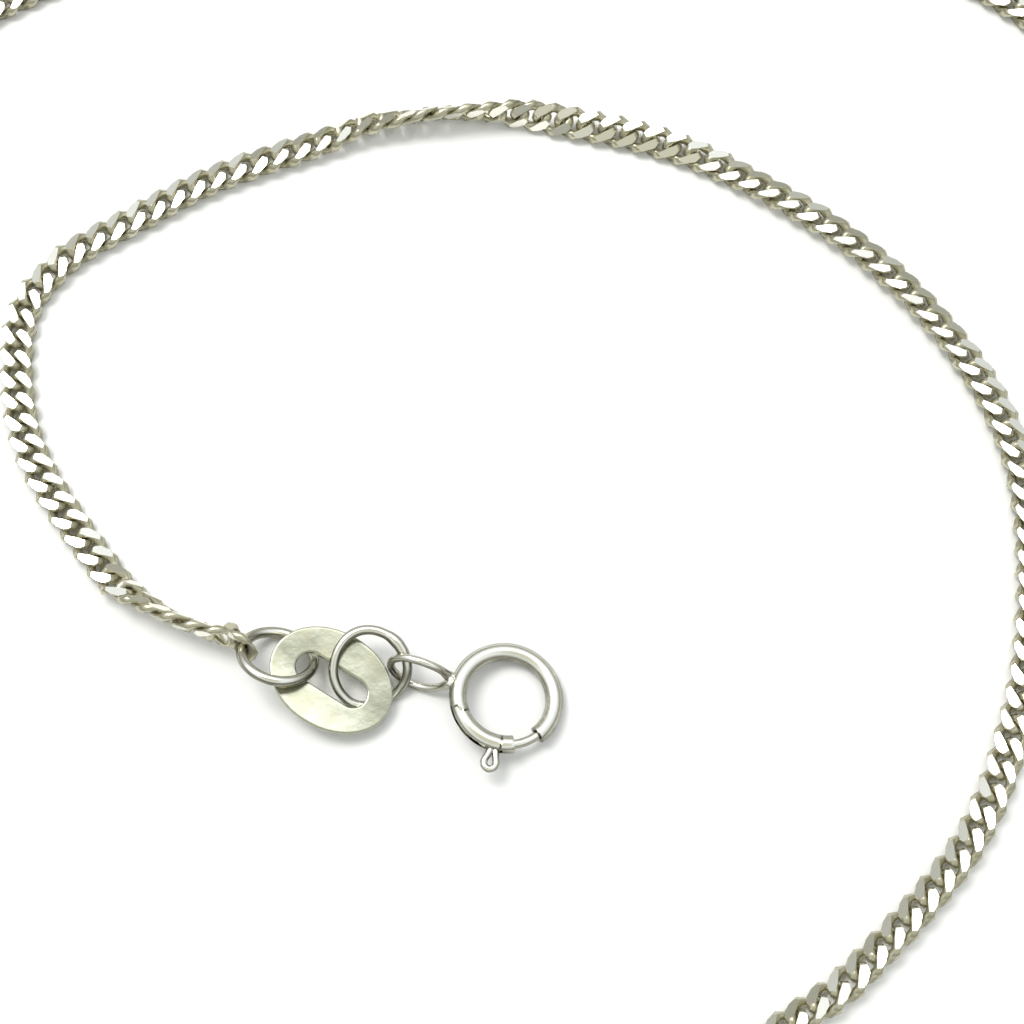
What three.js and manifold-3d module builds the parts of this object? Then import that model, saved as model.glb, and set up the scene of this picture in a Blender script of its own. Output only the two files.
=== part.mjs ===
// Curb chain necklace with an oval tag and a bolt ring clasp, laid down in a loose loop.
// Millimetres, +Z up. The origin is under the middle of the necklace, on the surface it lies on.
import * as THREE from 'three';
import { mergeVertices } from 'three/addons/utils/BufferGeometryUtils.js';
import Module from 'manifold-3d';

const wasm = await Module();
wasm.setup();

// Curb links: flat oval loops of round wire, twisted so that they lie in each other
const LINK_WIRE = 0.55;
const LINK_LENGTH = 2.28;
const LINK_WIDTH = 1.8;
const LINK_TWIST = 46; // degrees that each end is turned from the link's middle
const LINK_SIDES = 16;
const LINK_WIRE_SIDES = 6;

// Chain: its links are too fine for solids of their own, so two tubes of its section stand for them
const CHAIN_WIDTH = LINK_WIDTH;
const CHAIN_THICKNESS = 0.7; // over the diamond-cut faces
const CHAIN_FACE = 1.4; // width of the cut faces
const CHAIN_SIDE = 0.3; // height of the tubes' side walls
const CHAIN_END_GAP = 0.3; // from the first and last link to a tube
const CHAIN_JOIN = 140; // along the chain to where the two tubes meet
const CHAIN_JOIN_GAP = 0.1;
const INNER_CHAIN_STEPS = 84;
const OUTER_CHAIN_STEPS = 60;

// Round wires
const CHAIN_RING_RADIUS = 1.715;
const CHAIN_RING_WIRE = 0.5;
const CLASP_RING_WIRE = 0.46;
const CLASP_RING_STEPS = 40;
const END_RING_RADIUS = 1.75;
const END_RING_WIRE = 0.5;
const SOLDER_RADIUS = 0.3;
const SOLDER_ROWS = 8;
const RING_SIDES = 32;
const WIRE_SIDES = 10;

// Tag: an oval plate with a long round-ended slot
const TAG_LENGTH = 6.14;
const TAG_WIDTH = 4.64;
const TAG_THICKNESS = 0.3;
const TAG_EDGE = 0.07; // rounding of the rim
const TAG_SLOT_LENGTH = 3.72;
const TAG_SLOT_WIDTH = 1.32;

// Clasp: angles run anticlockwise round the case's middle, in degrees
const CASE_RADIUS = 2.28; // of the tube's centreline
const CASE_TUBE = 0.84;
const CASE_BORE = 0.58;
const CASE_MOUTH = 278; // the end that the bolt comes out of
const CASE_CATCH = 310; // the end that takes its tip
const CASE_CATCH_DEPTH = 8;
const CASE_BORE_START = 176;
const CASE_SLOT_START = 192;
const CASE_SLOT_END = 266;
const CASE_SLOT_HEIGHT = 0.42;
const CASE_SIDES = 12;
const CASE_STEPS = 48;
const BORE_STEPS = 20;
const BORE_OVERRUN = 10; // how far the bores' cutters reach past the case's two ends
const CATCH_STEPS = 4;
const SLOT_STEPS = 10;
const BOLT_WIRE = 0.43;
const BOLT_START = 238;
const BOLT_END = 313.5;
const BOLT_STEPS = 14;
const LEVER_ANGLE = 256.5;
const LEVER_WIRE = 0.34;
const LEVER_STEPS = 24;
const LOOP_WIRE = 0.38;
const LOOP_STEPS = 36;
const FINE_SIDES = 8;

// Places, from the middle of the laid necklace
const CHAIN_RING_PLACE = { at: [-9.97, -2.17, 1.3], lean: -36.8, heading: -24.5 };
const TAG_PLACE = { at: [-7.45, -3.25, 1.01], turn: [3.8, 6.1, -31.5] };
const CLASP_PLACE = { at: [0.73, -4.04, 0.83], turn: [-5.1, 9.0, 0] };
const END_RING_REACH = 1.95; // from the last link's middle to the end ring's
const END_RING_PLACE = { height: 0.6, dip: 11 };

// The chain's way, from the link in the chain ring to the link in the end ring.
// Columns: x, y, lift above lying on the surface, roll in degrees, where a positive roll raises
// the left edge and half a turn lays the chain on its other face
const CHAIN_ROUTE = [
  [-11.77, -1.485, 0.45, 102],
  [-14.51, -0.47, 0.25, 80],
  [-17.27, 1.11, 0.04, 42],
  [-18.6, 2.42, 0, 6],
  [-21.9, 7, 0, 0],
  [-23.35, 10.35, 0, 0],
  [-23.9, 14.2, 0, 0],
  [-23.6, 16.6, 0, 0],
  [-22.75, 18, 0, -3],
  [-21.5, 19.45, 0, -4],
  [-19, 21.1, 0, -5],
  [-14.53, 23.77, 0, -6],
  [-9.07, 25.93, 0, -10],
  [-5.98, 27.06, 0, -36],
  [-0.8, 27.52, 0, -78],
  [4.54, 26.98, 0, -158],
  [9.83, 25.53, 0, -170],
  [14.14, 23.21, 0, -190],
  [18.1, 20.38, 0, -192],
  [21.33, 17.08, 0, -192],
  [24.1, 13.01, 0, -190],
  [25.62, 9.21, 0, -188],
  [26.17, 5.4, 0, -184],
  [25.85, 0.18, 0, -177],
  [24.63, -4.89, 0, -167],
  [21.84, -10.76, 0, -158],
  [16.52, -16.45, 0, -154],
  [13.01, -18.97, 0, -152],
  [2.05, -26.39, 0, -160],
  [-14, -31.5, 0, -180],
  [-29, -28, 0, -180],
  [-39.2, -16, 0, -180],
  [-43, 1, 0, -180],
  [-41.2, 17, 0, -180],
  [-35, 28.2, 0, -180],
  [-26.1, 34.8, 0, -180],
  [-13, 41.4, 0, -180],
  [1, 44, 0, -180],
  [15, 41.8, 0, -180],
  [28.1, 34.5, 0, -180],
  [37, 24.5, 0, -180],
  [42, 10.5, 0, -180],
  [42.78, -5, 0, -180],
  [38.5, -21, 0, -180],
  [29.5, -33.4, 0, -188],
  [18.2, -41.74, 0.03, -245],
];

// The clasp ring's bent oval, from its solder joint all the way round. Columns: x, y, z
const CLASP_RING_ROUTE = [
  [-4.42, -1.57, 1.67],
  [-4.76, -1.3, 1.74],
  [-5.37, -1.06, 1.8],
  [-6.02, -1.05, 1.81],
  [-6.59, -1.31, 1.79],
  [-7.01, -1.77, 1.72],
  [-7.27, -2.37, 1.55],
  [-7.34, -3.02, 1.28],
  [-7.16, -3.59, 0.96],
  [-6.85, -3.97, 0.68],
  [-6.51, -4.21, 0.48],
  [-6.02, -4.31, 0.35],
  [-5.3, -4.16, 0.27],
  [-4.56, -3.76, 0.26],
  [-4.07, -3.28, 0.66],
  [-3.89, -2.77, 1.1],
  [-3.98, -2.24, 1.44],
  [-4.22, -1.81, 1.61],
];

// The clasp's pear-shaped loop, over and under the clasp ring, both ends soldered into the case.
// Columns: x, y, z
const LOOP_ROUTE = [
  [-1.4, -3.22, 1.12],
  [-1.92, -3.11, 1.19],
  [-2.3, -2.95, 1.73],
  [-2.8, -2.79, 2.06],
  [-3.4, -2.59, 2.14],
  [-4.03, -2.41, 1.96],
  [-4.54, -2.39, 1.54],
  [-4.68, -2.54, 1.01],
  [-4.49, -2.77, 0.52],
  [-4.08, -3.02, 0.25],
  [-3.55, -3.27, 0.21],
  [-2.94, -3.44, 0.38],
  [-2.38, -3.49, 0.69],
  [-1.89, -3.44, 1.15],
  [-1.4, -3.36, 1.14],
];

// The lever: a wire loop pinched at its root. Columns: distance from the case's middle,
// and from the lever's own centreline
const LEVER_ROUTE = [
  [2.3, -0.1],
  [2.65, -0.13],
  [2.95, -0.2],
  [3.22, -0.28],
  [3.46, -0.22],
  [3.58, 0],
  [3.46, 0.22],
  [3.22, 0.28],
  [2.95, 0.2],
  [2.65, 0.13],
  [2.3, 0.1],
];

const radians = THREE.MathUtils.degToRad;

function metal(color, roughness) {
  return new THREE.MeshStandardMaterial({ color, roughness, metalness: 1 });
}

const chainMetal = metal(0xd9d2c2, 0.22);
const ringMetal = metal(0xd2ccbc, 0.25);
const tagMetal = metal(0xcfcab8, 0.35);
const claspMetal = metal(0xd6cfbb, 0.28);

// Closed geometries to solids and back
function toSolid(geometry) {
  const plain = geometry.clone();
  plain.deleteAttribute('normal');
  plain.deleteAttribute('uv');
  const merged = mergeVertices(plain, 1e-5);
  return new wasm.Manifold(
    new wasm.Mesh({
      numProp: 3,
      vertProperties: Float32Array.from(merged.attributes.position.array),
      triVerts: Uint32Array.from(merged.index.array),
    })
  );
}

function toGeometry(solid) {
  const mesh = solid.getMesh();
  const geometry = new THREE.BufferGeometry();
  geometry.setAttribute('position', new THREE.BufferAttribute(mesh.vertProperties, 3));
  geometry.setIndex(new THREE.BufferAttribute(mesh.triVerts, 1));
  geometry.computeVertexNormals();
  return geometry;
}

function named(name, geometry, material) {
  const mesh = new THREE.Mesh(geometry, material);
  mesh.name = name;
  return mesh;
}

// An arc of the case's ring, in its own plane
class RingArc extends THREE.Curve {
  constructor(from, to) {
    super();
    this.from = radians(from);
    this.to = radians(to);
  }

  getPoint(t, target = new THREE.Vector3()) {
    const angle = THREE.MathUtils.lerp(this.from, this.to, t);
    return target.set(CASE_RADIUS * Math.cos(angle), CASE_RADIUS * Math.sin(angle), 0);
  }
}

// A round wire along a route
function wire(route, diameter, sides, steps) {
  const corners = [];
  for (let i = 0; i < sides; i += 1) {
    const angle = (2 * Math.PI * (i + 0.5)) / sides;
    corners.push(new THREE.Vector2(Math.cos(angle), Math.sin(angle)).multiplyScalar(diameter / 2));
  }
  return new THREE.ExtrudeGeometry(new THREE.Shape(corners), { steps, extrudePath: route });
}

function bentRoute(rows) {
  const points = rows.map(([x, y, z]) => new THREE.Vector3(x, y, z));
  return new THREE.CatmullRomCurve3(points, false, 'catmullrom', 0.5);
}

// Half of the chain's section at a roll, measured straight down from its centreline
function restHeight(roll) {
  const across = Math.abs(Math.sin(roll));
  const upright = Math.abs(Math.cos(roll));
  const onSide = (CHAIN_WIDTH * across + CHAIN_SIDE * upright) / 2;
  const onFace = (CHAIN_FACE * across + CHAIN_THICKNESS * upright) / 2;
  return Math.max(onSide, onFace);
}

// The chain's centreline, which rests on the surface apart from its lift
class ChainRoute extends THREE.Curve {
  constructor(rows) {
    super();
    this.arcLengthDivisions = 40 * rows.length;
    this.rows = rows;
    this.plan = bentRoute(rows.map(([x, y]) => [x, y, 0]));
  }

  column(index, t) {
    const place = t * (this.rows.length - 1);
    const row = Math.min(Math.floor(place), this.rows.length - 2);
    return THREE.MathUtils.lerp(this.rows[row][index], this.rows[row + 1][index], place - row);
  }

  roll(t) {
    return radians(this.column(3, t));
  }

  getPoint(t, target = new THREE.Vector3()) {
    this.plan.getPoint(t, target);
    target.z = restHeight(this.roll(t)) + this.column(2, t);
    return target;
  }

  // Forward, left and up directions of the rolled chain, at a share of its length
  axesAt(share) {
    const forward = this.getTangentAt(share);
    const roll = this.roll(this.getUtoTmapping(share));
    const left = new THREE.Vector3(-forward.y, forward.x, 0).normalize();
    left.applyAxisAngle(forward, roll);
    return { forward, left, up: new THREE.Vector3().crossVectors(forward, left) };
  }
}

// A stretch of the chain, whose section turns with the chain's roll
class ChainStretch extends THREE.Curve {
  constructor(route, start, end) {
    super();
    this.route = route;
    this.share = (t) => THREE.MathUtils.lerp(start, end, t) / route.getLength();
  }

  getPoint(t, target) {
    return this.route.getPointAt(this.share(t), target);
  }

  computeFrenetFrames(segments) {
    const frames = { tangents: [], normals: [], binormals: [] };
    for (let i = 0; i <= segments; i += 1) {
      const { forward, left, up } = this.route.axesAt(this.share(this.getUtoTmapping(i / segments)));
      frames.tangents.push(forward);
      frames.normals.push(left);
      frames.binormals.push(up);
    }
    return frames;
  }
}

const chainRoute = new ChainRoute(CHAIN_ROUTE);

function chainTube(start, end, steps) {
  const halfWidth = CHAIN_WIDTH / 2;
  const halfHeight = CHAIN_THICKNESS / 2;
  const halfFace = CHAIN_FACE / 2;
  const halfSide = CHAIN_SIDE / 2;
  const section = new THREE.Shape();
  section.moveTo(halfWidth, -halfSide);
  section.lineTo(halfWidth, halfSide);
  section.lineTo(halfFace, halfHeight);
  section.lineTo(-halfFace, halfHeight);
  section.lineTo(-halfWidth, halfSide);
  section.lineTo(-halfWidth, -halfSide);
  section.lineTo(-halfFace, -halfHeight);
  section.lineTo(halfFace, -halfHeight);
  const stretch = new ChainStretch(chainRoute, start, end);
  return new THREE.ExtrudeGeometry(section, { steps, extrudePath: stretch });
}

// One link: a ring drawn out along X, twisted about X, with its faces cut flat
function curbLink() {
  const halfWidth = (LINK_WIDTH - LINK_WIRE) / 2;
  const reach = (LINK_LENGTH - LINK_WIRE) / 2;
  const geometry = new THREE.TorusGeometry(halfWidth, LINK_WIRE / 2, LINK_WIRE_SIDES, LINK_SIDES);
  const position = geometry.attributes.position;
  for (let i = 0; i < position.count; i += 1) {
    const drawn = position.getX(i) + Math.sign(position.getX(i)) * (reach - halfWidth);
    const y = position.getY(i);
    const z = position.getZ(i);
    const twist = -radians(LINK_TWIST) * Math.sin((Math.PI * drawn) / (2 * reach));
    const turnedY = y * Math.cos(twist) - z * Math.sin(twist);
    const turnedZ = y * Math.sin(twist) + z * Math.cos(twist);
    position.setXYZ(i, drawn, turnedY, turnedZ);
  }
  const cut = new THREE.BoxGeometry(2 * LINK_LENGTH, 2 * LINK_WIDTH, CHAIN_THICKNESS);
  return toGeometry(toSolid(geometry).intersect(toSolid(cut)));
}

function placedLink(name, share) {
  const link = named(name, curbLink(), chainMetal);
  const { forward, left, up } = chainRoute.axesAt(share);
  link.setRotationFromMatrix(new THREE.Matrix4().makeBasis(forward, left, up));
  link.position.copy(chainRoute.getPointAt(share));
  return link;
}

function chainRing() {
  const geometry = new THREE.TorusGeometry(
    CHAIN_RING_RADIUS, CHAIN_RING_WIRE / 2, WIRE_SIDES, RING_SIDES);
  const ring = named('chain_ring', geometry, ringMetal);
  ring.position.set(...CHAIN_RING_PLACE.at);
  ring.rotation.set(radians(CHAIN_RING_PLACE.lean), 0, radians(CHAIN_RING_PLACE.heading), 'ZXY');
  return ring;
}

// The end ring lies beside the last link, tipped where it passes through it
function endRing() {
  const geometry = new THREE.TorusGeometry(
    END_RING_RADIUS, END_RING_WIRE / 2, WIRE_SIDES, RING_SIDES);
  const ring = named('end_ring', geometry, ringMetal);
  const lastPoint = chainRoute.getPointAt(1);
  const { forward } = chainRoute.axesAt(1);
  const heading = Math.atan2(forward.y, forward.x);
  ring.position.set(
    lastPoint.x + END_RING_REACH * Math.cos(heading),
    lastPoint.y + END_RING_REACH * Math.sin(heading),
    END_RING_PLACE.height);
  ring.rotation.set(0, radians(END_RING_PLACE.dip), heading, 'ZYX');
  return ring;
}

function tag() {
  const oval = new THREE.Shape();
  const rim = TAG_EDGE;
  oval.absellipse(0, 0, TAG_LENGTH / 2 - rim, TAG_WIDTH / 2 - rim, 0, 2 * Math.PI);
  const slot = new THREE.Path();
  const slotRadius = TAG_SLOT_WIDTH / 2 + rim;
  const slotReach = (TAG_SLOT_LENGTH - TAG_SLOT_WIDTH) / 2;
  slot.absarc(slotReach, 0, slotRadius, -Math.PI / 2, Math.PI / 2);
  slot.absarc(-slotReach, 0, slotRadius, Math.PI / 2, (3 * Math.PI) / 2);
  oval.holes.push(slot);
  const geometry = new THREE.ExtrudeGeometry(oval, {
    depth: TAG_THICKNESS - 2 * rim,
    curveSegments: 20,
    bevelThickness: rim,
    bevelSize: rim,
    bevelSegments: 1,
  });
  geometry.translate(0, 0, rim - TAG_THICKNESS / 2);
  const plate = named('tag', geometry, tagMetal);
  plate.position.set(...TAG_PLACE.at);
  plate.rotation.set(...TAG_PLACE.turn.map(radians));
  return plate;
}

// The clasp ring is bent from a wire whose two ends meet in a blob of solder
function claspRing() {
  const bent = toSolid(wire(bentRoute(CLASP_RING_ROUTE), CLASP_RING_WIRE, WIRE_SIDES, CLASP_RING_STEPS));
  const first = new THREE.Vector3(...CLASP_RING_ROUTE[0]);
  const last = new THREE.Vector3(...CLASP_RING_ROUTE[CLASP_RING_ROUTE.length - 1]);
  const joint = first.add(last).multiplyScalar(0.5);
  const solder = new THREE.SphereGeometry(SOLDER_RADIUS, WIRE_SIDES, SOLDER_ROWS);
  solder.translate(joint.x, joint.y, joint.z);
  return named('clasp_ring', toGeometry(bent.add(toSolid(solder))), ringMetal);
}

// The lever's slot, cut from the bore out through the case's outer wall
function leverSlot() {
  const outline = new THREE.Shape();
  const start = radians(CASE_SLOT_START);
  const end = radians(CASE_SLOT_END);
  outline.absarc(0, 0, CASE_RADIUS + CASE_TUBE, start, end);
  outline.absarc(0, 0, CASE_RADIUS, end, start, true);
  const geometry = new THREE.ExtrudeGeometry(outline, {
    depth: CASE_SLOT_HEIGHT, curveSegments: SLOT_STEPS, bevelEnabled: false });
  return geometry.translate(0, 0, -CASE_SLOT_HEIGHT / 2);
}

function claspCase(inverse) {
  const round = new RingArc(CASE_CATCH, CASE_MOUTH + 360);
  const outside = wire(round, CASE_TUBE, CASE_SIDES, CASE_STEPS);
  const loop = wire(bentRoute(LOOP_ROUTE), LOOP_WIRE, FINE_SIDES, LOOP_STEPS);
  const boreArc = new RingArc(CASE_BORE_START, CASE_MOUTH + BORE_OVERRUN);
  const bore = wire(boreArc, CASE_BORE, CASE_SIDES, BORE_STEPS);
  const catchArc = new RingArc(CASE_CATCH - BORE_OVERRUN, CASE_CATCH + CASE_CATCH_DEPTH);
  const catchHole = wire(catchArc, CASE_BORE, CASE_SIDES, CATCH_STEPS);
  const solid = toSolid(outside)
    .add(toSolid(loop.applyMatrix4(inverse)))
    .subtract(toSolid(bore))
    .subtract(toSolid(catchHole))
    .subtract(toSolid(leverSlot()));
  return named('clasp_case', toGeometry(solid), claspMetal);
}

function claspBolt() {
  const rod = wire(new RingArc(BOLT_START, BOLT_END), BOLT_WIRE, WIRE_SIDES, BOLT_STEPS);
  const leverRows = LEVER_ROUTE.map(([out, side]) => [out, side, 0]);
  const lever = wire(bentRoute(leverRows), LEVER_WIRE, FINE_SIDES, LEVER_STEPS);
  lever.rotateZ(radians(LEVER_ANGLE));
  return named('clasp_bolt', toGeometry(toSolid(rod).add(toSolid(lever))), claspMetal);
}

// The bolt ring clasp, tipped as it leans on the clasp ring
function clasp() {
  const tipped = new THREE.Group();
  tipped.position.set(...CLASP_PLACE.at);
  tipped.rotation.set(...CLASP_PLACE.turn.map(radians));
  tipped.updateMatrix();
  tipped.add(claspCase(tipped.matrix.clone().invert()), claspBolt());
  return tipped;
}

const chainStart = LINK_LENGTH / 2 + CHAIN_END_GAP;
const chainEnd = chainRoute.getLength() - chainStart;
const innerTube = chainTube(chainStart, CHAIN_JOIN, INNER_CHAIN_STEPS);
const outerTube = chainTube(CHAIN_JOIN + CHAIN_JOIN_GAP, chainEnd, OUTER_CHAIN_STEPS);

const group = new THREE.Group();
group.add(
  named('inner_chain', innerTube, chainMetal),
  named('outer_chain', outerTube, chainMetal),
  placedLink('first_link', 0),
  placedLink('last_link', 1),
  chainRing(),
  tag(),
  claspRing(),
  clasp(),
  endRing()
);

export default group;
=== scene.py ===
"""A fine curb chain necklace with an oval tag and a bolt ring clasp, laid down on a pale floor."""
import math
import random
from bisect import bisect_right

import bmesh
import bpy
from bpy.props import (
    FloatProperty,
    FloatVectorProperty,
    IntProperty,
    PointerProperty,
)
from mathutils import Matrix, Vector, noise


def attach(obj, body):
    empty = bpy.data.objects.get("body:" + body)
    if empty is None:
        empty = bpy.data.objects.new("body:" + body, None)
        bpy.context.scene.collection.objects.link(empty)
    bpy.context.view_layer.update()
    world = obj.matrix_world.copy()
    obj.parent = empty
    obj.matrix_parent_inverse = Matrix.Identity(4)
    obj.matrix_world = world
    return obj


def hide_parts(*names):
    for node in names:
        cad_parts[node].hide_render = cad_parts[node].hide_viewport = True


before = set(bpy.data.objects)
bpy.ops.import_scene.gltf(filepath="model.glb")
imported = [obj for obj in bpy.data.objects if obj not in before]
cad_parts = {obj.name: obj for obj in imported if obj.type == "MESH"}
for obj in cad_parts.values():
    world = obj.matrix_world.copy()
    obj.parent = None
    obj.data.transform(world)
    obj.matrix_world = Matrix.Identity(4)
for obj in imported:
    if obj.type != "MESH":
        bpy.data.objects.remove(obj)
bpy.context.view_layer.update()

bl_info = {
    "name": "Curb Chain Necklace",
    "version": (1, 0, 0),
    "blender": (4, 5, 0),
    "location": "3D View > Sidebar > Necklace",
    "description": "Builds a curb chain necklace with a slotted oval tag and a bolt ring clasp",
    "category": "Add Mesh",
}

NECKLACE = "necklace"
BOLT = "bolt"
FULL_TURN = 2 * math.pi

# The chain's way, from the link in the chain ring to the link in the end ring, in metres.
# Columns: x, y, lift above lying on the surface, roll in degrees, where a positive roll raises
# the left edge and half a turn lays the chain on its other face
CHAIN_ROUTE = (
    (-0.01177, -0.00148, 0.00045, 102),
    (-0.01451, -0.00047, 0.00025, 80),
    (-0.01727, 0.00111, 0.00004, 42),
    (-0.0186, 0.00242, 0, 6),
    (-0.0219, 0.007, 0, 0),
    (-0.02335, 0.01035, 0, 0),
    (-0.0239, 0.0142, 0, 0),
    (-0.0236, 0.0166, 0, 0),
    (-0.02275, 0.018, 0, -3),
    (-0.0215, 0.01945, 0, -4),
    (-0.019, 0.0211, 0, -5),
    (-0.01453, 0.02377, 0, -6),
    (-0.00907, 0.02593, 0, -10),
    (-0.00598, 0.02706, 0, -36),
    (-0.0008, 0.02752, 0, -78),
    (0.00454, 0.02698, 0, -158),
    (0.00983, 0.02553, 0, -170),
    (0.01414, 0.02321, 0, -190),
    (0.0181, 0.02038, 0, -192),
    (0.02133, 0.01708, 0, -192),
    (0.0241, 0.01301, 0, -190),
    (0.02562, 0.00921, 0, -188),
    (0.02617, 0.0054, 0, -184),
    (0.02585, 0.00018, 0, -177),
    (0.02463, -0.00489, 0, -167),
    (0.02184, -0.01076, 0, -158),
    (0.01652, -0.01645, 0, -154),
    (0.01301, -0.01897, 0, -152),
    (0.00205, -0.02639, 0, -160),
    (-0.014, -0.0315, 0, -180),
    (-0.029, -0.028, 0, -180),
    (-0.0392, -0.016, 0, -180),
    (-0.043, 0.001, 0, -180),
    (-0.0412, 0.017, 0, -180),
    (-0.035, 0.0282, 0, -180),
    (-0.0261, 0.0348, 0, -180),
    (-0.013, 0.0414, 0, -180),
    (0.001, 0.044, 0, -180),
    (0.015, 0.0418, 0, -180),
    (0.0281, 0.0345, 0, -180),
    (0.037, 0.0245, 0, -180),
    (0.042, 0.0105, 0, -180),
    (0.04278, -0.005, 0, -180),
    (0.0385, -0.021, 0, -180),
    (0.0295, -0.0334, 0, -188),
    (0.0182, -0.04174, 0.00003, -245),
)

# The clasp ring's bent oval, from its solder joint all the way round, in metres
CLASP_RING_ROUTE = (
    (-0.00442, -0.00157, 0.00167),
    (-0.00476, -0.0013, 0.00174),
    (-0.00537, -0.00106, 0.0018),
    (-0.00602, -0.00105, 0.00181),
    (-0.00659, -0.00131, 0.00179),
    (-0.00701, -0.00177, 0.00172),
    (-0.00727, -0.00237, 0.00155),
    (-0.00734, -0.00302, 0.00128),
    (-0.00716, -0.00359, 0.00096),
    (-0.00685, -0.00397, 0.00068),
    (-0.00651, -0.00421, 0.00048),
    (-0.00602, -0.00431, 0.00035),
    (-0.0053, -0.00416, 0.00027),
    (-0.00456, -0.00376, 0.00026),
    (-0.00407, -0.00328, 0.00066),
    (-0.00389, -0.00277, 0.0011),
    (-0.00398, -0.00224, 0.00144),
    (-0.00422, -0.00181, 0.00161),
)

# The clasp's pear-shaped loop, over and under the clasp ring, both ends in the case, in metres
LOOP_ROUTE = (
    (-0.0014, -0.00322, 0.00112),
    (-0.00192, -0.00311, 0.00119),
    (-0.0023, -0.00295, 0.00173),
    (-0.0028, -0.00279, 0.00206),
    (-0.0034, -0.00259, 0.00214),
    (-0.00403, -0.00241, 0.00196),
    (-0.00454, -0.00239, 0.00154),
    (-0.00468, -0.00254, 0.00101),
    (-0.00449, -0.00277, 0.00052),
    (-0.00408, -0.00302, 0.00025),
    (-0.00355, -0.00327, 0.00021),
    (-0.00294, -0.00344, 0.00038),
    (-0.00238, -0.00349, 0.00069),
    (-0.00189, -0.00344, 0.00115),
    (-0.0014, -0.00336, 0.00114),
)

# The lever's wire, in metres: distance from the case's middle, and from the lever's centreline
LEVER_ROUTE = (
    (0.0023, -0.0001),
    (0.00265, -0.00013),
    (0.00295, -0.0002),
    (0.00322, -0.00028),
    (0.00346, -0.00022),
    (0.00358, 0),
    (0.00346, 0.00022),
    (0.00322, 0.00028),
    (0.00295, 0.0002),
    (0.00265, 0.00013),
    (0.0023, 0.0001),
)

# Places in the frame: metres and degrees
CHAIN_RING_AT = (-0.00997, -0.00217, 0.0013)
CHAIN_RING_LEAN = -36.8
CHAIN_RING_HEADING = -24.5
TAG_AT = (-0.00745, -0.00325, 0.00101)
TAG_TURN = (3.8, 6.1, -31.5)
CLASP_AT = (0.00073, -0.00404, 0.00083)
CLASP_TURN = (-5.1, 9.0, 0)
END_RING_REACH = 0.00195
END_RING_HEIGHT = 0.0006
END_RING_DIP = 11
LOOP_JOINT = (-0.00184, -0.00331, 0.00113)

# The case, in degrees anticlockwise round its middle
CASE_MOUTH = 278
CASE_CATCH = 310
CASE_CATCH_FLOOR = 318
CASE_BORE_FLOOR = 176
CASE_SLOT_START = 192
CASE_SLOT_END = 266
BOLT_START = 238
BOLT_END = 313.5
LEVER_ANGLE = 256.5

# Directions of the lamp, of the window and of the dim side, where the camera stands
LAMP = (-0.35, 0.29, 0.89)
WINDOW = (0.12, 0.39, 0.91)
DIM_SIDE = (-0.03, -0.28, 0.96)


def length(name, description, default):
    return FloatProperty(
        name=name, description=description, default=default, unit="LENGTH", precision=6)


def colour(name, description, default):
    return FloatVectorProperty(
        name=name, description=description, default=default, subtype="COLOR", min=0, soft_max=1)


class ChainSettings(bpy.types.PropertyGroup):
    """Sizes of the curb links"""
    link_wire: length("Link wire", "Thickness of a link's round wire", 0.00055)
    link_length: length("Link length", "Outer length of a link", 0.00228)
    link_width: length("Link width", "Outer width of a link and of the chain", 0.0018)
    thickness: length("Thickness", "Height of the chain over its cut faces", 0.0007)
    face_width: length("Face width", "Width over which the chain rests on its faces", 0.0014)
    side_height: length("Side height", "Height over which the chain rests on its side", 0.0003)
    twist: FloatProperty(
        name="Twist", description="Turn of a link's end from its middle",
        default=math.radians(46), subtype="ANGLE")
    slant: FloatProperty(
        name="Slant", description="Slope of the cut faces, down to the chain's edges",
        default=math.radians(9), subtype="ANGLE")
    ridge: length("Ridge", "From the chain's middle to where the cut faces are highest", 0.0002)
    links: IntProperty(name="Links", description="Number of links in the chain", default=330)


class FittingSettings(bpy.types.PropertyGroup):
    """Sizes of the rings, the tag and the clasp"""
    ring_wire: length("Ring wire", "Thickness of the chain ring and the end ring", 0.0005)
    chain_ring_radius: length("Chain ring", "Radius of its wire's centreline", 0.001715)
    end_ring_radius: length("End ring", "Radius of its wire's centreline", 0.00175)
    clasp_ring_wire: length("Clasp ring wire", "Thickness of the clasp ring", 0.00046)
    solder: length("Solder", "Radius of the clasp ring's solder joint", 0.0003)
    tag_length: length("Tag length", "Length of the oval tag", 0.00614)
    tag_width: length("Tag width", "Width of the oval tag", 0.00464)
    tag_thickness: length("Tag thickness", "Thickness of the tag's plate", 0.0003)
    tag_rim: length("Tag rim", "Rounding of the tag's edges", 0.00007)
    slot_length: length("Slot length", "Length of the tag's slot", 0.00372)
    slot_width: length("Slot width", "Width of the tag's slot", 0.00132)
    case_radius: length("Case radius", "Radius of the case's centreline", 0.00228)
    case_tube: length("Case tube", "Thickness of the case's tube", 0.00084)
    case_bore: length("Case bore", "Width of the bore that the bolt runs in", 0.00058)
    lever_slot: length("Lever slot", "Height of the slot that the lever runs in", 0.00042)
    bolt_wire: length("Bolt", "Thickness of the bolt", 0.00043)
    lever_wire: length("Lever wire", "Thickness of the lever's wire", 0.00034)
    loop_wire: length("Loop wire", "Thickness of the clasp's loop", 0.00038)


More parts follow.
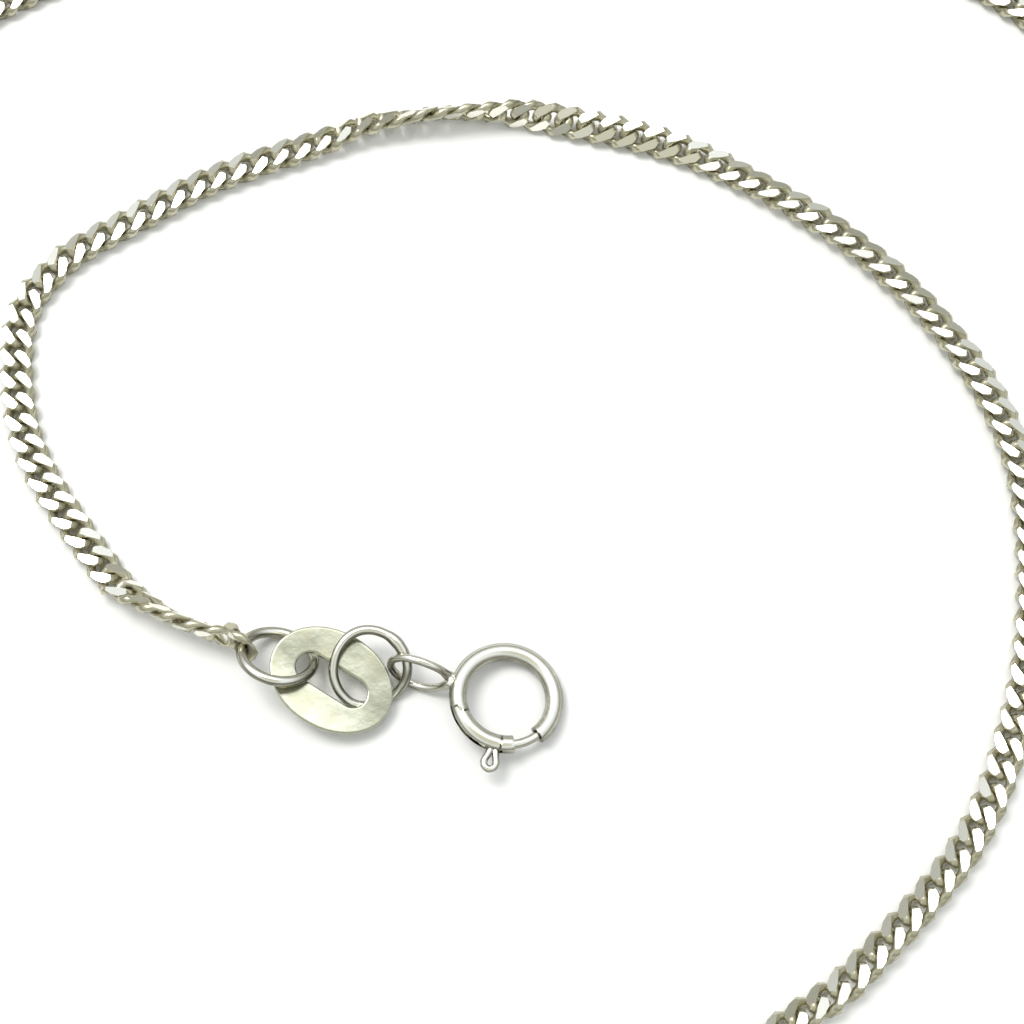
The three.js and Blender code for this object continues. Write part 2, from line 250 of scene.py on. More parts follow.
class FinishSettings(bpy.types.PropertyGroup):
    """Colours and polish of the metal"""
    silver: colour("Silver", "Clean polished metal", (0.90, 0.885, 0.79))
    tarnish: colour("Tarnish", "Metal in the hollows", (0.42, 0.395, 0.25))
    # Painted shade and reflection: the dark colour laid down the sides of wires and tubes, where
    # they mirror the dim low surroundings
    side_shade: colour("Side shade", "Wires and tubes on their unworn sides", (0.14, 0.13, 0.09))
    tag_silver: colour("Tag", "The tag's satin metal", (0.49, 0.505, 0.405))
    polish: FloatProperty(
        name="Polish", description="Roughness of clean metal", default=0.16, subtype="FACTOR")
    satin: FloatProperty(
        name="Satin", description="Roughness of the tag", default=0.22, subtype="FACTOR")


class StageSettings(bpy.types.PropertyGroup):
    """The camera's place, the floor and the light"""
    target: FloatVectorProperty(
        name="Target", description="Point that the camera looks at",
        default=(0.001, 0.0055, 0), subtype="XYZ", unit="LENGTH")
    distance: length("Distance", "From the camera to its target", 0.0905)
    elevation: FloatProperty(
        name="Elevation", description="Height of the camera above the surface",
        default=math.radians(70), subtype="ANGLE")
    lens: FloatProperty(name="Lens", description="Focal length in millimetres", default=65.04)
    floor: colour("Floor", "The pale surface", (0.935, 0.935, 0.93))
    lamp: colour("Lamp", "Light from the upper left", (10.5, 10.3, 10.0))
    window: colour("Window", "Light from behind the necklace", (2.6, 2.6, 2.6))
    ceiling: colour("Ceiling", "Light from high up all round", (0.95, 1.0, 1.05))
    walls: colour("Walls", "Light from low down all round", (0.34, 0.34, 0.29))
    dim_side: colour("Dim side", "Light from round the camera", (0.62, 0.62, 0.52))
    strength: FloatProperty(name="Strength", description="Of all the light", default=1.0)


class Wave:
    """A value that changes over a surface: a shader socket with arithmetic"""

    def __init__(self, nodes, socket):
        self.nodes = nodes
        self.socket = socket

    def _math(self, operation, first, second):
        settings = {"operation": operation}
        return self.nodes.add("ShaderNodeMath", 0, settings, {0: first, 1: second})

    def __add__(self, other):
        return self._math("ADD", self, other)

    __radd__ = __add__

    def __sub__(self, other):
        return self._math("SUBTRACT", self, other)

    def __rsub__(self, other):
        return self._math("SUBTRACT", other, self)

    def __mul__(self, other):
        return self._math("MULTIPLY", self, other)

    __rmul__ = __mul__

    def __pow__(self, other):
        return self._math("POWER", self, other)

    def between(self, low, high):
        """0 below low, 1 above high, and smooth between them"""
        sources = {"Value": self, "From Min": low, "From Max": high}
        settings = {"interpolation_type": "SMOOTHSTEP"}
        return self.nodes.add("ShaderNodeMapRange", "Result", settings, sources)


class Nodes:
    """The shader nodes of a material or of the sky"""

    def __init__(self, owner, surface):
        owner.use_nodes = True
        self.tree = owner.node_tree
        self.surface = self.tree.nodes[surface]

    def add(self, kind, output, settings, sources):
        """Adds a node, with its settings and the values or links of its sockets"""
        node = self.tree.nodes.new(kind)
        for name, value in settings.items():
            setattr(node, name, value)
        for name, value in sources.items():
            self.feed(node.inputs[name], value)
        return Wave(self, node.outputs[output])

    def feed(self, socket, value):
        if isinstance(value, Wave):
            self.tree.links.new(value.socket, socket)
        else:
            socket.default_value = value

    def mix(self, factor, first, second):
        """A colour from first, at factor 0, to second, at 1"""
        sources = {"Factor": factor, 6: opaque(first), 7: opaque(second)}
        return self.add("ShaderNodeMix", 2, {"data_type": "RGBA"}, sources)

    def set(self, **sources):
        """Feeds the surface's own sockets"""
        for name, value in sources.items():
            self.feed(self.surface.inputs[name.replace("_", " ").title()], value)


def opaque(value):
    return value if isinstance(value, Wave) else (*value, 1)


class Finish(Nodes):
    """One metal finish"""

    def __init__(self, name):
        self.material = bpy.data.materials.new(name)
        super().__init__(self.material, "Principled BSDF")
        self.set(metallic=1)

    def noise(self, size, detail=2.0, stretch=(1, 1, 1)):
        """Clouds of about the given size in metres"""
        at = self.add("ShaderNodeTexCoord", "Object", {}, {})
        at = self.add("ShaderNodeMapping", "Vector", {}, {"Vector": at, "Scale": stretch})
        sources = {"Vector": at, "Scale": 1 / size, "Detail": detail}
        return self.add("ShaderNodeTexNoise", "Fac", {}, sources)

    def attribute(self, name):
        return self.add("ShaderNodeAttribute", "Fac", {"attribute_name": name}, {})

    def shaded(self, low, high):
        """Mask of painted shade: 0 on top, where a surface faces up, and 1 down its sides"""
        normal = self.add("ShaderNodeTexCoord", "Normal", {}, {})
        upwards = self.add("ShaderNodeSeparateXYZ", "Z", {}, {"Vector": normal})
        return (1 - upwards).between(low, high)

    def bump(self, height, depth):
        """Bumps of the given depth in metres"""
        sources = {"Height": height, "Distance": depth, "Strength": 1.0}
        self.set(normal=self.add("ShaderNodeBump", "Normal", {}, sources))


class Sky(Nodes):
    """The soft light all round, by its direction"""

    def __init__(self, scene):
        scene.world = bpy.data.worlds.new("studio")
        super().__init__(scene.world, "Background")
        self.direction = self.add("ShaderNodeTexCoord", "Generated", {}, {})

    def near(self, centre, rim, core):
        """1 within core degrees of a direction, falling to 0 at rim degrees"""
        sources = {0: self.direction, 1: Vector(centre).normalized()}
        settings = {"operation": "DOT_PRODUCT"}
        cosine = self.add("ShaderNodeVectorMath", "Value", settings, sources)
        return cosine.between(math.cos(math.radians(rim)), math.cos(math.radians(core)))


def link_silver(finishes):
    """Polished faces, with tarnish down between the links"""
    finish = Finish("link_silver")
    clouds = finish.noise(0.0009)
    hollow = finish.attribute("hollow") * (0.55 + 0.45 * clouds)
    finish.set(
        base_color=finish.mix(hollow, tuple(finishes.silver), tuple(finishes.tarnish)),
        metallic=1 - 0.15 * hollow,
        roughness=finishes.polish + 0.12 * hollow + 0.06 * clouds)
    finish.bump(finish.noise(0.00012, 3), 0.000003)
    return finish.material


def wire_silver(finishes):
    """Drawn wire: polished, with rougher patches and painted shade down its sides"""
    finish = Finish("wire_silver")
    patches = finish.noise(0.0011, 3).between(0.42, 0.72)
    # Painted shade: the base colour darkens down the wire's sides, where it reflects dim
    # surroundings, a little more in patches
    side_shade = finish.shaded(0.05, 0.4) * (0.8 + 0.2 * patches)
    finish.set(
        base_color=finish.mix(side_shade, tuple(finishes.silver), tuple(finishes.side_shade)),
        roughness=finishes.polish + 0.1 * patches)
    finish.bump(finish.noise(0.0002, 4), 0.000004)
    return finish.material


def tag_silver(finishes):
    """Satin plate, mottled where it has rubbed and tarnished"""
    finish = Finish("tag_silver")
    patches = finish.noise(0.0012, 4).between(0.4, 0.65)
    specks = finish.noise(0.0002, 3)
    finish.set(
        base_color=finish.mix(patches * 0.3, tuple(finishes.tag_silver), tuple(finishes.tarnish)),
        roughness=finishes.satin + 0.08 * patches - 0.08 * specks)
    finish.bump(finish.noise(0.00035, 4), 0.000006)
    return finish.material


def clasp_silver(finishes):
    """Polished tube with fine scratches along it, and painted shade down its sides"""
    finish = Finish("clasp_silver")
    patches = finish.noise(0.0015, 3).between(0.4, 0.6)
    scratches = finish.noise(0.0003, 4, (1, 1, 6))
    # Painted shade: the base colour darkens down the tube's sides, where it reflects dim
    # surroundings, varied in patches
    side_shade = finish.shaded(0.06, 0.6) * (0.7 + 0.25 * patches)
    finish.set(
        base_color=finish.mix(side_shade, tuple(finishes.silver), tuple(finishes.side_shade)),
        roughness=finishes.polish + 0.05 * patches + 0.06 * scratches)
    finish.bump(scratches, 0.000004)
    return finish.material


def smooth_route(points, closed, steps):
    """Points on the smooth curve through the given ones, with steps from each to the next"""
    points = [Vector(point) for point in points]
    if closed:
        padded = [points[-1], *points, points[0], points[1]]
    else:
        padded = [2 * points[0] - points[1], *points, 2 * points[-1] - points[-2]]
    route = []
    for before, start, end, after in zip(padded, padded[1:], padded[2:], padded[3:]):
        for step in range(steps):
            route.append(curve_point(before, start, end, after, step / steps))
    return route if closed else [*route, points[-1]]


def curve_point(before, start, end, after, t):
    bend = 2 * before - 5 * start + 4 * end - after
    turn = 3 * start - before - 3 * end + after
    return 0.5 * (2 * start + (end - before) * t + bend * t**2 + turn * t**3)


def along(direction, sideways):
    """A turn that takes Z along a direction and X as near sideways as it can"""
    forward = direction.normalized()
    across = sideways.cross(forward).normalized()
    out = forward.cross(across)
    return Matrix((across, -out, forward)).transposed().to_4x4()


def turned(at, turn):
    """A place: turned about Z, then Y, then X, and moved"""
    place = Matrix.Translation(at)
    for angle, axis in zip(turn, "XYZ"):
        place = place @ Matrix.Rotation(math.radians(angle), 4, axis)
    return place


class ChainRoute:
    """The chain's centreline, which rests on the surface apart from its lift"""

    STEPS = 40

    def __init__(self, chain):
        self.chain = chain
        plan = [(x, y, 0) for x, y, lift, roll in CHAIN_ROUTE]
        self.points = smooth_route(plan, False, self.STEPS)
        for index, point in enumerate(self.points):
            lift, roll = self.lie(index)
            point.z = self.rest_height(roll) + lift
        self.lengths = [0.0]
        for start, end in zip(self.points, self.points[1:]):
            self.lengths.append(self.lengths[-1] + (end - start).length)

    def lie(self, index):
        """Lift and roll at a place along the route, counted in points"""
        row = min(int(index / self.STEPS), len(CHAIN_ROUTE) - 2)
        share = index / self.STEPS - row
        start, end = CHAIN_ROUTE[row], CHAIN_ROUTE[row + 1]
        lift, roll = (start[i] + (end[i] - start[i]) * share for i in (2, 3))
        return lift, math.radians(roll)

    def rest_height(self, roll):
        across, upright = abs(math.sin(roll)), abs(math.cos(roll))
        on_side = self.chain.link_width * across + self.chain.side_height * upright
        on_face = self.chain.face_width * across + self.chain.thickness * upright
        return max(on_side, on_face) / 2

    def index_at(self, distance):
        index = min(max(bisect_right(self.lengths, distance) - 1, 0), len(self.lengths) - 2)
        step = self.lengths[index + 1] - self.lengths[index]
        return index + (distance - self.lengths[index]) / step

    def point_at(self, distance):
        index = self.index_at(distance)
        start = min(int(index), len(self.points) - 2)
        return self.points[start].lerp(self.points[start + 1], index - start)

    def place_at(self, distance, half_span):
        """The chain's place and axes: X forward, Y left, Z up, all rolled"""
        forward = self.point_at(distance + half_span) - self.point_at(distance - half_span)
        forward.normalize()
        lift, roll = self.lie(self.index_at(distance))
        left = Vector((-forward.y, forward.x, 0)).normalized()
        left.rotate(Matrix.Rotation(roll, 3, forward))
        axes = Matrix((forward, left, forward.cross(left))).transposed().to_4x4()
        return Matrix.Translation(self.point_at(distance)) @ axes


def link_mesh(chain):
    """One link: a ring drawn out along X, twisted about X, with its faces cut flat"""
    wire_sides, link_sides = 6, 12
    half_width = (chain.link_width - chain.link_wire) / 2
    reach = (chain.link_length - chain.link_wire) / 2
    bm = bmesh.new()
    section = Matrix.Translation((half_width, 0, 0)) @ Matrix.Rotation(math.pi / 2, 4, "X")
    bmesh.ops.create_circle(
        bm, segments=wire_sides, radius=chain.link_wire / 2, matrix=section)
    bmesh.ops.spin(
        bm, geom=bm.edges[:], cent=(0, 0, 0), axis=(0, 0, 1), angle=FULL_TURN,
        steps=link_sides, use_merge=True)
    for vert in bm.verts:
        if abs(vert.co.x) > chain.link_wire / 100:
            vert.co.x += math.copysign(reach - half_width, vert.co.x)
        turn = chain.twist * math.sin(math.pi / 2 * vert.co.x / reach)
        vert.co.rotate(Matrix.Rotation(-turn, 3, "X"))
    bmesh.ops.recalc_face_normals(bm, faces=bm.faces[:])
    for face in bm.faces:
        face.smooth = True
    for side in (1, -1):
        for edge in (1, -1):
            ridge = Vector((0, edge * chain.ridge, side * chain.thickness / 2))
            slope = Vector((0, edge * math.sin(chain.slant), side * math.cos(chain.slant)))
            cut_face(bm, ridge, slope)
    hollow = bm.faces.layers.float.new("hollow")
    for face in bm.faces:
        face[hollow] = 1 if face.smooth else 0
    return to_mesh(bm, "link")


def cut_face(bm, place, normal):
    """Cuts off what stands past a plane, and closes the cut with flat faces"""
    bmesh.ops.bisect_plane(
        bm, geom=bm.verts[:] + bm.edges[:] + bm.faces[:], dist=1e-8,
        plane_co=place, plane_no=normal, clear_outer=True)
    rim = [edge for edge in bm.edges if edge.is_boundary]
    for face in bmesh.ops.holes_fill(bm, edges=rim, sides=0)["faces"]:
        face.smooth = False


def to_mesh(bm, name):
    mesh = bpy.data.meshes.new(name)
    bm.to_mesh(mesh)
    bm.free()
    return mesh


def ring_mesh(bm, radius, wire, place, sides=96, wire_sides=24):
    """A plain round ring"""
    start = len(bm.verts)
    section = Matrix.Translation((radius, 0, 0)) @ Matrix.Rotation(math.pi / 2, 4, "X")
    bmesh.ops.create_circle(bm, segments=wire_sides, radius=wire / 2, matrix=section)
    bm.verts.ensure_lookup_table()
    loop = {edge for vert in bm.verts[start:] for edge in vert.link_edges}
    bmesh.ops.spin(
        bm, geom=list(loop), cent=(0, 0, 0), axis=(0, 0, 1), angle=FULL_TURN,
        steps=sides, use_merge=True)
    bm.verts.ensure_lookup_table()
    bmesh.ops.transform(bm, matrix=place, verts=bm.verts[start:])


def sweep(bm, sections, sides, closed=False):
    """A wire through round sections, each the place of a circle of radius 1"""
    made = bmesh.ops.create_circle(
        bm, segments=sides, radius=1, matrix=sections[0], cap_ends=False)["verts"]
    loop = list({edge for vert in made for edge in vert.link_edges})
    first = made
    path = [*sections, sections[0]] if closed else sections
    rims = [loop]
    for start, end in zip(path, path[1:]):
        grown = bmesh.ops.extrude_edge_only(bm, edges=loop)["geom"]
        verts = {item for item in grown if isinstance(item, bmesh.types.BMVert)}
        loop = [
            item for item in grown
            if isinstance(item, bmesh.types.BMEdge) and set(item.verts) <= verts]
        bmesh.ops.transform(bm, matrix=end @ start.inverted(), verts=list(verts))
    if closed:
        bmesh.ops.remove_doubles(bm, verts=[*first, *verts], dist=1e-7)
    else:
        for rim in (*rims, loop):
            bmesh.ops.holes_fill(bm, edges=rim, sides=0)


def wire_sections(route, closed, normal, radius_at):
    """Round sections square to a route that lies near one plane"""
    count = len(route)
    sections = []
    for index, point in enumerate(route):
        after = route[(index + 1) % count] if closed else route[min(index + 1, count - 1)]
        before = route[index - 1] if closed else route[max(index - 1, 0)]
        radius = radius_at(index / count, point)
        sections.append(
            Matrix.Translation(point) @ along(after - before, normal) @ Matrix.Scale(radius, 4))
    return sections


def add_piece(bm, name, material, slot, body, *nodes):
    """Makes a smooth object of a mesh, which stands for CAD nodes and rides on their body"""
    bmesh.ops.recalc_face_normals(bm, faces=bm.faces[:])
    for face in bm.faces:
        face.smooth = True
    return add_object(to_mesh(bm, name), name, material, slot, body, *nodes)


def add_object(mesh, name, material, slot, body, *nodes):
    mesh.materials.append(material)
    piece = bpy.data.objects.new(name, mesh)
    bpy.context.scene.collection.objects.link(piece)
    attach(piece, body)
    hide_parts(*nodes)
    return piece


def chain_end(chain):
    """The last link's place on the route"""
    route = ChainRoute(chain)
    return route.place_at(route.lengths[-1], chain.link_length / 4)


class NECKLACE_OT_links(bpy.types.Operator):
    """Lays the interlocking curb links along the chain's route"""
    bl_idname = "necklace.links"
    bl_label = "Curb Links"

    def execute(self, context):
        chain = context.scene.necklace_chain
        route = ChainRoute(chain)
        pitch = route.lengths[-1] / (chain.links - 1)
        template = link_mesh(chain)
        jitter = random.Random(4)
        bm = bmesh.new()
        for index in range(chain.links):
            place = route.place_at(index * pitch, pitch / 2)
            link = template.copy()
            for axis, slack in (("X", 4), ("Y", 3)):
                turn = math.radians(jitter.uniform(-slack, slack))
                place = place @ Matrix.Rotation(turn, 4, axis)
            lowest = min((place @ vert.co).z for vert in template.vertices)
            link.transform(Matrix.Translation((0, 0, max(0, -lowest))) @ place)
            bm.from_mesh(link)
            bpy.data.meshes.remove(link)
        bpy.data.meshes.remove(template)
        finishes = context.scene.necklace_finish
        add_object(
            to_mesh(bm, "curb_links"), "curb_links", link_silver(finishes), "chain_metal",
            NECKLACE, "inner_chain", "outer_chain", "first_link", "last_link")
        return {"FINISHED"}


class NECKLACE_OT_rings(bpy.types.Operator):
    """Makes the chain ring, the bent clasp ring with its solder joint, and the end ring"""
    bl_idname = "necklace.rings"
    bl_label = "Jump Rings"

    def execute(self, context):
        fittings = context.scene.necklace_fittings
        silver = wire_silver(context.scene.necklace_finish)
        self.chain_ring(fittings, silver)
        self.clasp_ring(fittings, silver)
        self.end_ring(fittings, silver, context.scene.necklace_chain)
        return {"FINISHED"}

    def chain_ring(self, fittings, silver):
        heading = Matrix.Rotation(math.radians(CHAIN_RING_HEADING), 4, "Z")
        lean = Matrix.Rotation(math.radians(CHAIN_RING_LEAN), 4, "X")
        place = Matrix.Translation(CHAIN_RING_AT) @ heading @ lean
        bm = bmesh.new()
        ring_mesh(bm, fittings.chain_ring_radius, fittings.ring_wire, place)
        add_piece(bm, "chain_jump_ring", silver, "ring_metal", NECKLACE, "chain_ring")

    def clasp_ring(self, fittings, silver):
        joint = (Vector(CLASP_RING_ROUTE[0]) + Vector(CLASP_RING_ROUTE[-1])) / 2
        wire = fittings.clasp_ring_wire / 2

        def radius_at(share, point):
            near = max(0, 1 - (point - joint).length / 0.0007)
            lumps = 1 + 0.35 * noise.noise(point / 0.00022)
            return wire + (fittings.solder - wire) * near**0.7 * lumps

        route = smooth_route(CLASP_RING_ROUTE, True, 8)
        normal = Vector((0.09, -0.44, 0.89))
        bm = bmesh.new()
        sweep(bm, wire_sections(route, True, normal, radius_at), 24, closed=True)
        add_piece(bm, "clasp_jump_ring", silver, "ring_metal", NECKLACE, "clasp_ring")

    def end_ring(self, fittings, silver, chain):
        last = chain_end(chain)
        forward = last.to_3x3().col[0]
        heading = math.atan2(forward.y, forward.x)
        at = last.translation + Matrix.Rotation(heading, 3, "Z") @ Vector((END_RING_REACH, 0, 0))
        at.z = END_RING_HEIGHT
        dip = Matrix.Rotation(math.radians(END_RING_DIP), 4, "Y")
        place = Matrix.Translation(at) @ Matrix.Rotation(heading, 4, "Z") @ dip
        bm = bmesh.new()
        ring_mesh(bm, fittings.end_ring_radius, fittings.ring_wire, place)
        add_piece(bm, "end_jump_ring", silver, "ring_metal", NECKLACE, "end_ring")


class NECKLACE_OT_tag(bpy.types.Operator):
    """Makes the oval tag, slotted, worn round at its rims and dented"""
    bl_idname = "necklace.tag"
    bl_label = "Oval Tag"

    def execute(self, context):
        fittings = context.scene.necklace_fittings
        bm = bmesh.new()
        self.slotted_oval(bm, fittings)
        self.dent(bm)
        self.thicken(bm, fittings)
        bmesh.ops.transform(bm, matrix=turned(TAG_AT, TAG_TURN), verts=bm.verts[:])
        silver = tag_silver(context.scene.necklace_finish)
        add_piece(bm, "oval_tag", silver, "tag_metal", NECKLACE, "tag")
        return {"FINISHED"}

    def slotted_oval(self, bm, fittings):
        sides, rings = 112, 9
        rim = fittings.tag_rim
        oval = Matrix.Diagonal((fittings.tag_length / 2, fittings.tag_width / 2, 1, 1))
        bmesh.ops.create_circle(bm, segments=sides, radius=1, matrix=oval)
        slot = bmesh.ops.create_circle(bm, segments=sides, radius=fittings.slot_width / 2)
        reach = (fittings.slot_length - fittings.slot_width) / 2
        for vert in slot["verts"]:
            if abs(vert.co.x) > rim / 100:
                vert.co.x += math.copysign(reach, vert.co.x)
        loops = bm.edges[:]
        spokes = bmesh.ops.bridge_loops(bm, edges=loops)["edges"]
        bmesh.ops.subdivide_edges(bm, edges=spokes, cuts=rings, use_grid_fill=True)

    def dent(self, bm):
        """Bends the near side up a little, and beats shallow dents into the plate"""
        for vert in bm.verts:
            wide = noise.noise(Vector((vert.co.x, vert.co.y, 0)) / 0.0026)
            fine = noise.noise(Vector((vert.co.x, vert.co.y, 0.01)) / 0.0009)
            bend = 26 * min(vert.co.y, 0) ** 2
            vert.co.z += bend + 0.00002 * wide + 0.000009 * fine

    def thicken(self, bm, fittings):
        half = fittings.tag_thickness / 2
        bmesh.ops.translate(bm, verts=bm.verts[:], vec=(0, 0, -half))
        grown = bmesh.ops.extrude_face_region(bm, geom=bm.faces[:])["geom"]
        top = [item for item in grown if isinstance(item, bmesh.types.BMVert)]
        bmesh.ops.translate(bm, verts=top, vec=(0, 0, 2 * half))
        bmesh.ops.recalc_face_normals(bm, faces=bm.faces[:])
        rims = [edge for edge in bm.edges if edge.calc_face_angle(0) > math.radians(60)]
        bmesh.ops.bevel(
            bm, geom=rims, offset=fittings.tag_rim, offset_type="OFFSET", affect="EDGES",
            segments=3, profile=0.5, material=-1)


class NECKLACE_OT_clasp(bpy.types.Operator):
    """Makes the bolt ring: its slotted case with the soldered loop, and its bolt and lever"""
    bl_idname = "necklace.clasp"
    bl_label = "Bolt Ring"

    def execute(self, context):
        fittings = context.scene.necklace_fittings
        silver = clasp_silver(context.scene.necklace_finish)
        place = turned(CLASP_AT, CLASP_TURN)
        bm = bmesh.new()
        self.case(bm, fittings)
        bmesh.ops.transform(bm, matrix=place, verts=bm.verts[:])
        self.loop(bm, fittings)
        add_piece(bm, "bolt_ring_case", silver, "clasp_metal", NECKLACE, "clasp_case")
        bm = bmesh.new()
        self.bolt(bm, fittings)
        self.lever(bm, fittings)
        bmesh.ops.transform(bm, matrix=place, verts=bm.verts[:])
        add_piece(bm, "bolt_and_lever", silver, "clasp_metal", BOLT, "clasp_bolt")
        return {"FINISHED"}

    def tube(self, bm, radius, thickness, stops, sides):
        """A skin round an arc of the case, from stop to stop; returns its first and last loops"""
        start = Matrix.Rotation(math.radians(stops[0]), 4, "Z")
        section = Matrix.Translation((radius, 0, 0)) @ Matrix.Rotation(math.pi / 2, 4, "X")
        verts = bmesh.ops.create_circle(
            bm, segments=sides, radius=thickness / 2, matrix=start @ section)["verts"]
        first = last = list({edge for vert in verts for edge in vert.link_edges})
        for before, after in zip(stops, stops[1:]):
            steps = max(1, round(abs(after - before) / 4))
            grown = bmesh.ops.spin(
                bm, geom=last, cent=(0, 0, 0), axis=(0, 0, 1),
                angle=math.radians(after - before), steps=steps)["geom_last"]
            last = [item for item in grown if isinstance(item, bmesh.types.BMEdge)]
        return first, last

    def case(self, bm, fittings):
        radius, sides = fittings.case_radius, 28
        turn = 360
        outer_stops = (
            CASE_CATCH, CASE_CATCH_FLOOR, turn + CASE_BORE_FLOOR, turn + CASE_SLOT_START,
            turn + CASE_SLOT_END, turn + CASE_MOUTH)
        bore_stops = (CASE_BORE_FLOOR, CASE_SLOT_START, CASE_SLOT_END, CASE_MOUTH)
        catch, mouth = self.tube(bm, radius, fittings.case_tube, outer_stops, sides)
        floor, bore = self.tube(bm, radius, fittings.case_bore, bore_stops, sides)
        end, hole = self.tube(
            bm, radius, fittings.case_bore, (CASE_CATCH_FLOOR, CASE_CATCH), sides)
        for rim in (floor, end):
            bmesh.ops.holes_fill(bm, edges=rim, sides=0)
        bmesh.ops.bridge_loops(bm, edges=[*mouth, *bore])
        bmesh.ops.bridge_loops(bm, edges=[*catch, *hole])
        self.cut_slot(bm, fittings)
        bmesh.ops.recalc_face_normals(bm, faces=bm.faces[:])
        rims = [edge for edge in bm.edges if edge.calc_face_angle(0) > math.radians(50)]
        bmesh.ops.bevel(
            bm, geom=rims, offset=0.00002, offset_type="OFFSET", affect="EDGES",
            segments=2, profile=0.5, material=-1, clamp_overlap=True)

    def cut_slot(self, bm, fittings):
        """Opens the lever's slot through the outer wall"""
        start, end = math.radians(CASE_SLOT_START), math.radians(CASE_SLOT_END)
        doomed = []
        for face in bm.faces:
            middle = face.calc_center_median()
            angle = math.atan2(middle.y, middle.x) % FULL_TURN
            outside = middle.xy.length > fittings.case_radius
            if outside and start < angle < end and abs(middle.z) < fittings.lever_slot / 2:
                doomed.append(face)
        bmesh.ops.delete(bm, geom=doomed, context="FACES")
        bmesh.ops.bridge_loops(bm, edges=[edge for edge in bm.edges if edge.is_boundary])

    def loop(self, bm, fittings):
        """The pear-shaped loop and the solder that holds it"""
        route = smooth_route(LOOP_ROUTE, False, 6)
        radius = fittings.loop_wire / 2
        joint = Vector(LOOP_JOINT)

        def radius_at(share, point):
            near = max(0, 1 - (point - joint).length / 0.0006)
            return radius * (1 + 0.5 * near)

        normal = Vector((0.25, 0.93, 0.25))
        sweep(bm, wire_sections(route, False, normal, radius_at), 20)
        blob = Matrix.Translation(joint) @ Matrix.Diagonal((0.8, 1.1, 0.9, 1))
        bmesh.ops.create_icosphere(bm, subdivisions=3, radius=0.00034, matrix=blob)

    def bolt(self, bm, fittings):
        _, tip = self.tube(
            bm, fittings.case_radius, fittings.bolt_wire, (BOLT_START, BOLT_END), 20)
        open_rims = [edge for edge in bm.edges if edge.is_boundary]
        bmesh.ops.holes_fill(bm, edges=open_rims, sides=0)
        bmesh.ops.recalc_face_normals(bm, faces=bm.faces[:])
        rims = [edge for edge in bm.edges if edge.calc_face_angle(0) > math.radians(50)]
        bmesh.ops.bevel(
            bm, geom=rims, offset=0.00006, offset_type="OFFSET", affect="EDGES",
            segments=3, profile=0.5, material=-1)

    def lever(self, bm, fittings):
        turn = Matrix.Rotation(math.radians(LEVER_ANGLE), 3, "Z")
        route = smooth_route([turn @ Vector((out, side, 0)) for out, side in LEVER_ROUTE], False, 6)
        sections = wire_sections(
            route, False, Vector((0, 0, 1)), lambda share, point: fittings.lever_wire / 2)
        sweep(bm, sections, 16)


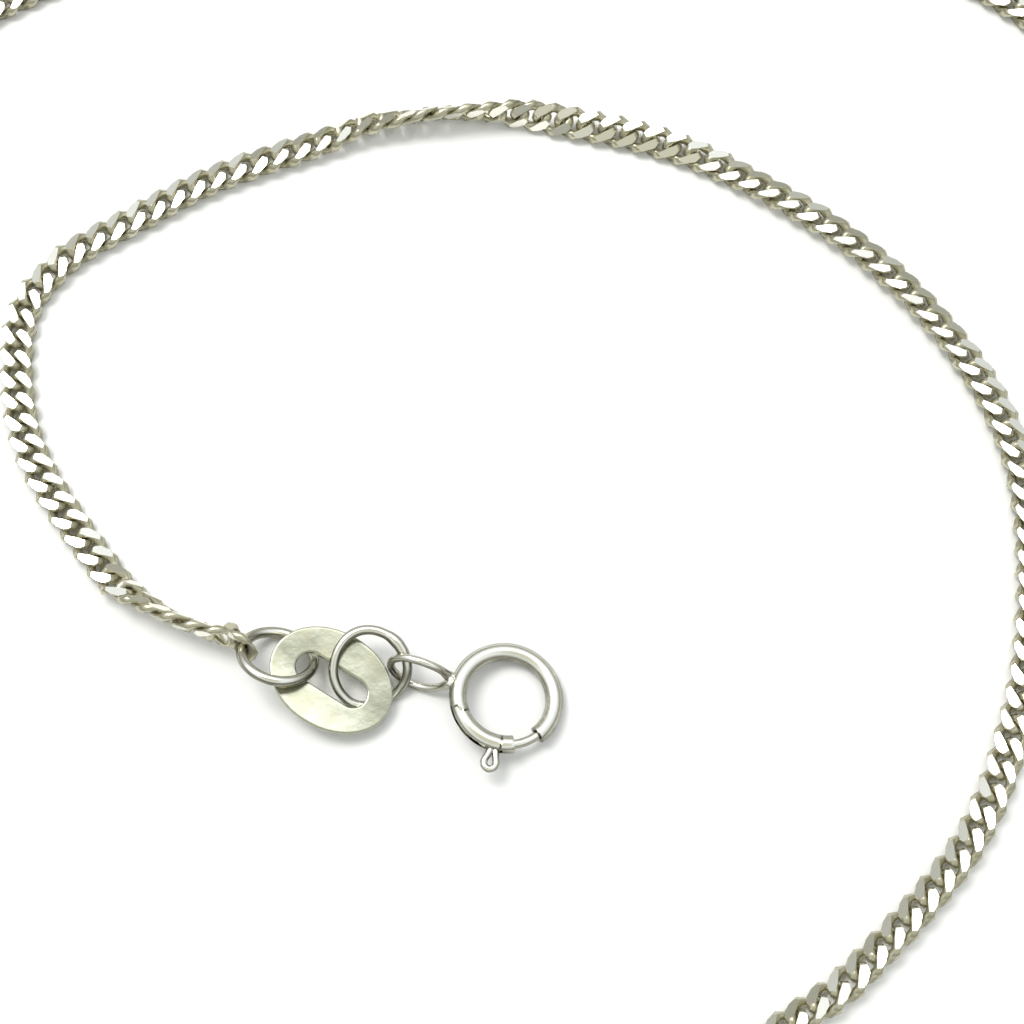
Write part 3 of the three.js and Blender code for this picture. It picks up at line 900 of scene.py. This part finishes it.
class NECKLACE_OT_stage(bpy.types.Operator):
    """Sets the camera, the pale floor and the soft light"""
    bl_idname = "necklace.stage"
    bl_label = "Stage"

    def execute(self, context):
        stage = context.scene.necklace_stage
        self.camera(context, stage)
        self.floor(context, stage)
        self.sky(context, stage)
        context.scene.view_settings.view_transform = "Standard"
        return {"FINISHED"}

    def camera(self, context, stage):
        data = bpy.data.cameras.new("camera")
        data.lens = stage.lens
        data.clip_start = 0.005
        camera = bpy.data.objects.new("camera", data)
        back = Vector((0, -math.cos(stage.elevation), math.sin(stage.elevation)))
        camera.location = Vector(stage.target) + back * stage.distance
        camera.rotation_euler = (math.pi / 2 - stage.elevation, 0, 0)
        context.scene.collection.objects.link(camera)
        context.scene.camera = camera

    def floor(self, context, stage):
        bm = bmesh.new()
        bmesh.ops.create_grid(bm, x_segments=1, y_segments=1, size=1)
        floor = bpy.data.objects.new("floor", to_mesh(bm, "floor"))
        material = bpy.data.materials.new("floor")
        material.use_nodes = True
        surface = material.node_tree.nodes["Principled BSDF"]
        surface.inputs["Base Color"].default_value = (*stage.floor, 1)
        surface.inputs["Roughness"].default_value = 0.7
        floor.data.materials.append(material)
        context.scene.collection.objects.link(floor)

    def sky(self, context, stage):
        """Pale overhead, dim low down and round the camera, with a lamp and a window"""
        sky = Sky(context.scene)
        high = sky.near((0, 0, 1), 78, 38)
        light = sky.mix(high, tuple(stage.walls), tuple(stage.ceiling))
        light = sky.mix(sky.near(DIM_SIDE, 34, 16), light, tuple(stage.dim_side))
        light = sky.mix(sky.near(WINDOW, 17, 10), light, tuple(stage.window))
        light = sky.mix(sky.near(LAMP, 17, 7), light, tuple(stage.lamp))
        sky.set(color=light, strength=stage.strength)


class NECKLACE_PT_panel(bpy.types.Panel):
    """Lists the necklace's pieces and settings in the sidebar"""
    bl_label = "Necklace"
    bl_idname = "NECKLACE_PT_panel"
    bl_space_type = "VIEW_3D"
    bl_region_type = "UI"
    bl_category = "Necklace"

    def draw(self, context):
        for operator in OPERATORS:
            self.layout.operator(operator.bl_idname)
        for name in SETTINGS:
            group = getattr(context.scene, name)
            box = self.layout.box()
            for prop in group.__annotations__:
                box.prop(group, prop)


OPERATORS = (
    NECKLACE_OT_stage,
    NECKLACE_OT_links,
    NECKLACE_OT_rings,
    NECKLACE_OT_tag,
    NECKLACE_OT_clasp,
)
SETTINGS = {
    "necklace_chain": ChainSettings,
    "necklace_fittings": FittingSettings,
    "necklace_finish": FinishSettings,
    "necklace_stage": StageSettings,
}


def register():
    for group in SETTINGS.values():
        bpy.utils.register_class(group)
    for name, group in SETTINGS.items():
        setattr(bpy.types.Scene, name, PointerProperty(type=group))
    for item in (*OPERATORS, NECKLACE_PT_panel):
        bpy.utils.register_class(item)


def unregister():
    for item in (NECKLACE_PT_panel, *reversed(OPERATORS)):
        bpy.utils.unregister_class(item)
    for name, group in SETTINGS.items():
        delattr(bpy.types.Scene, name)
        bpy.utils.unregister_class(group)


def main():
    register()
    bpy.ops.necklace.stage()
    bpy.ops.necklace.links()
    bpy.ops.necklace.rings()
    bpy.ops.necklace.tag()
    bpy.ops.necklace.clasp()


if __name__ == "__main__":
    main()
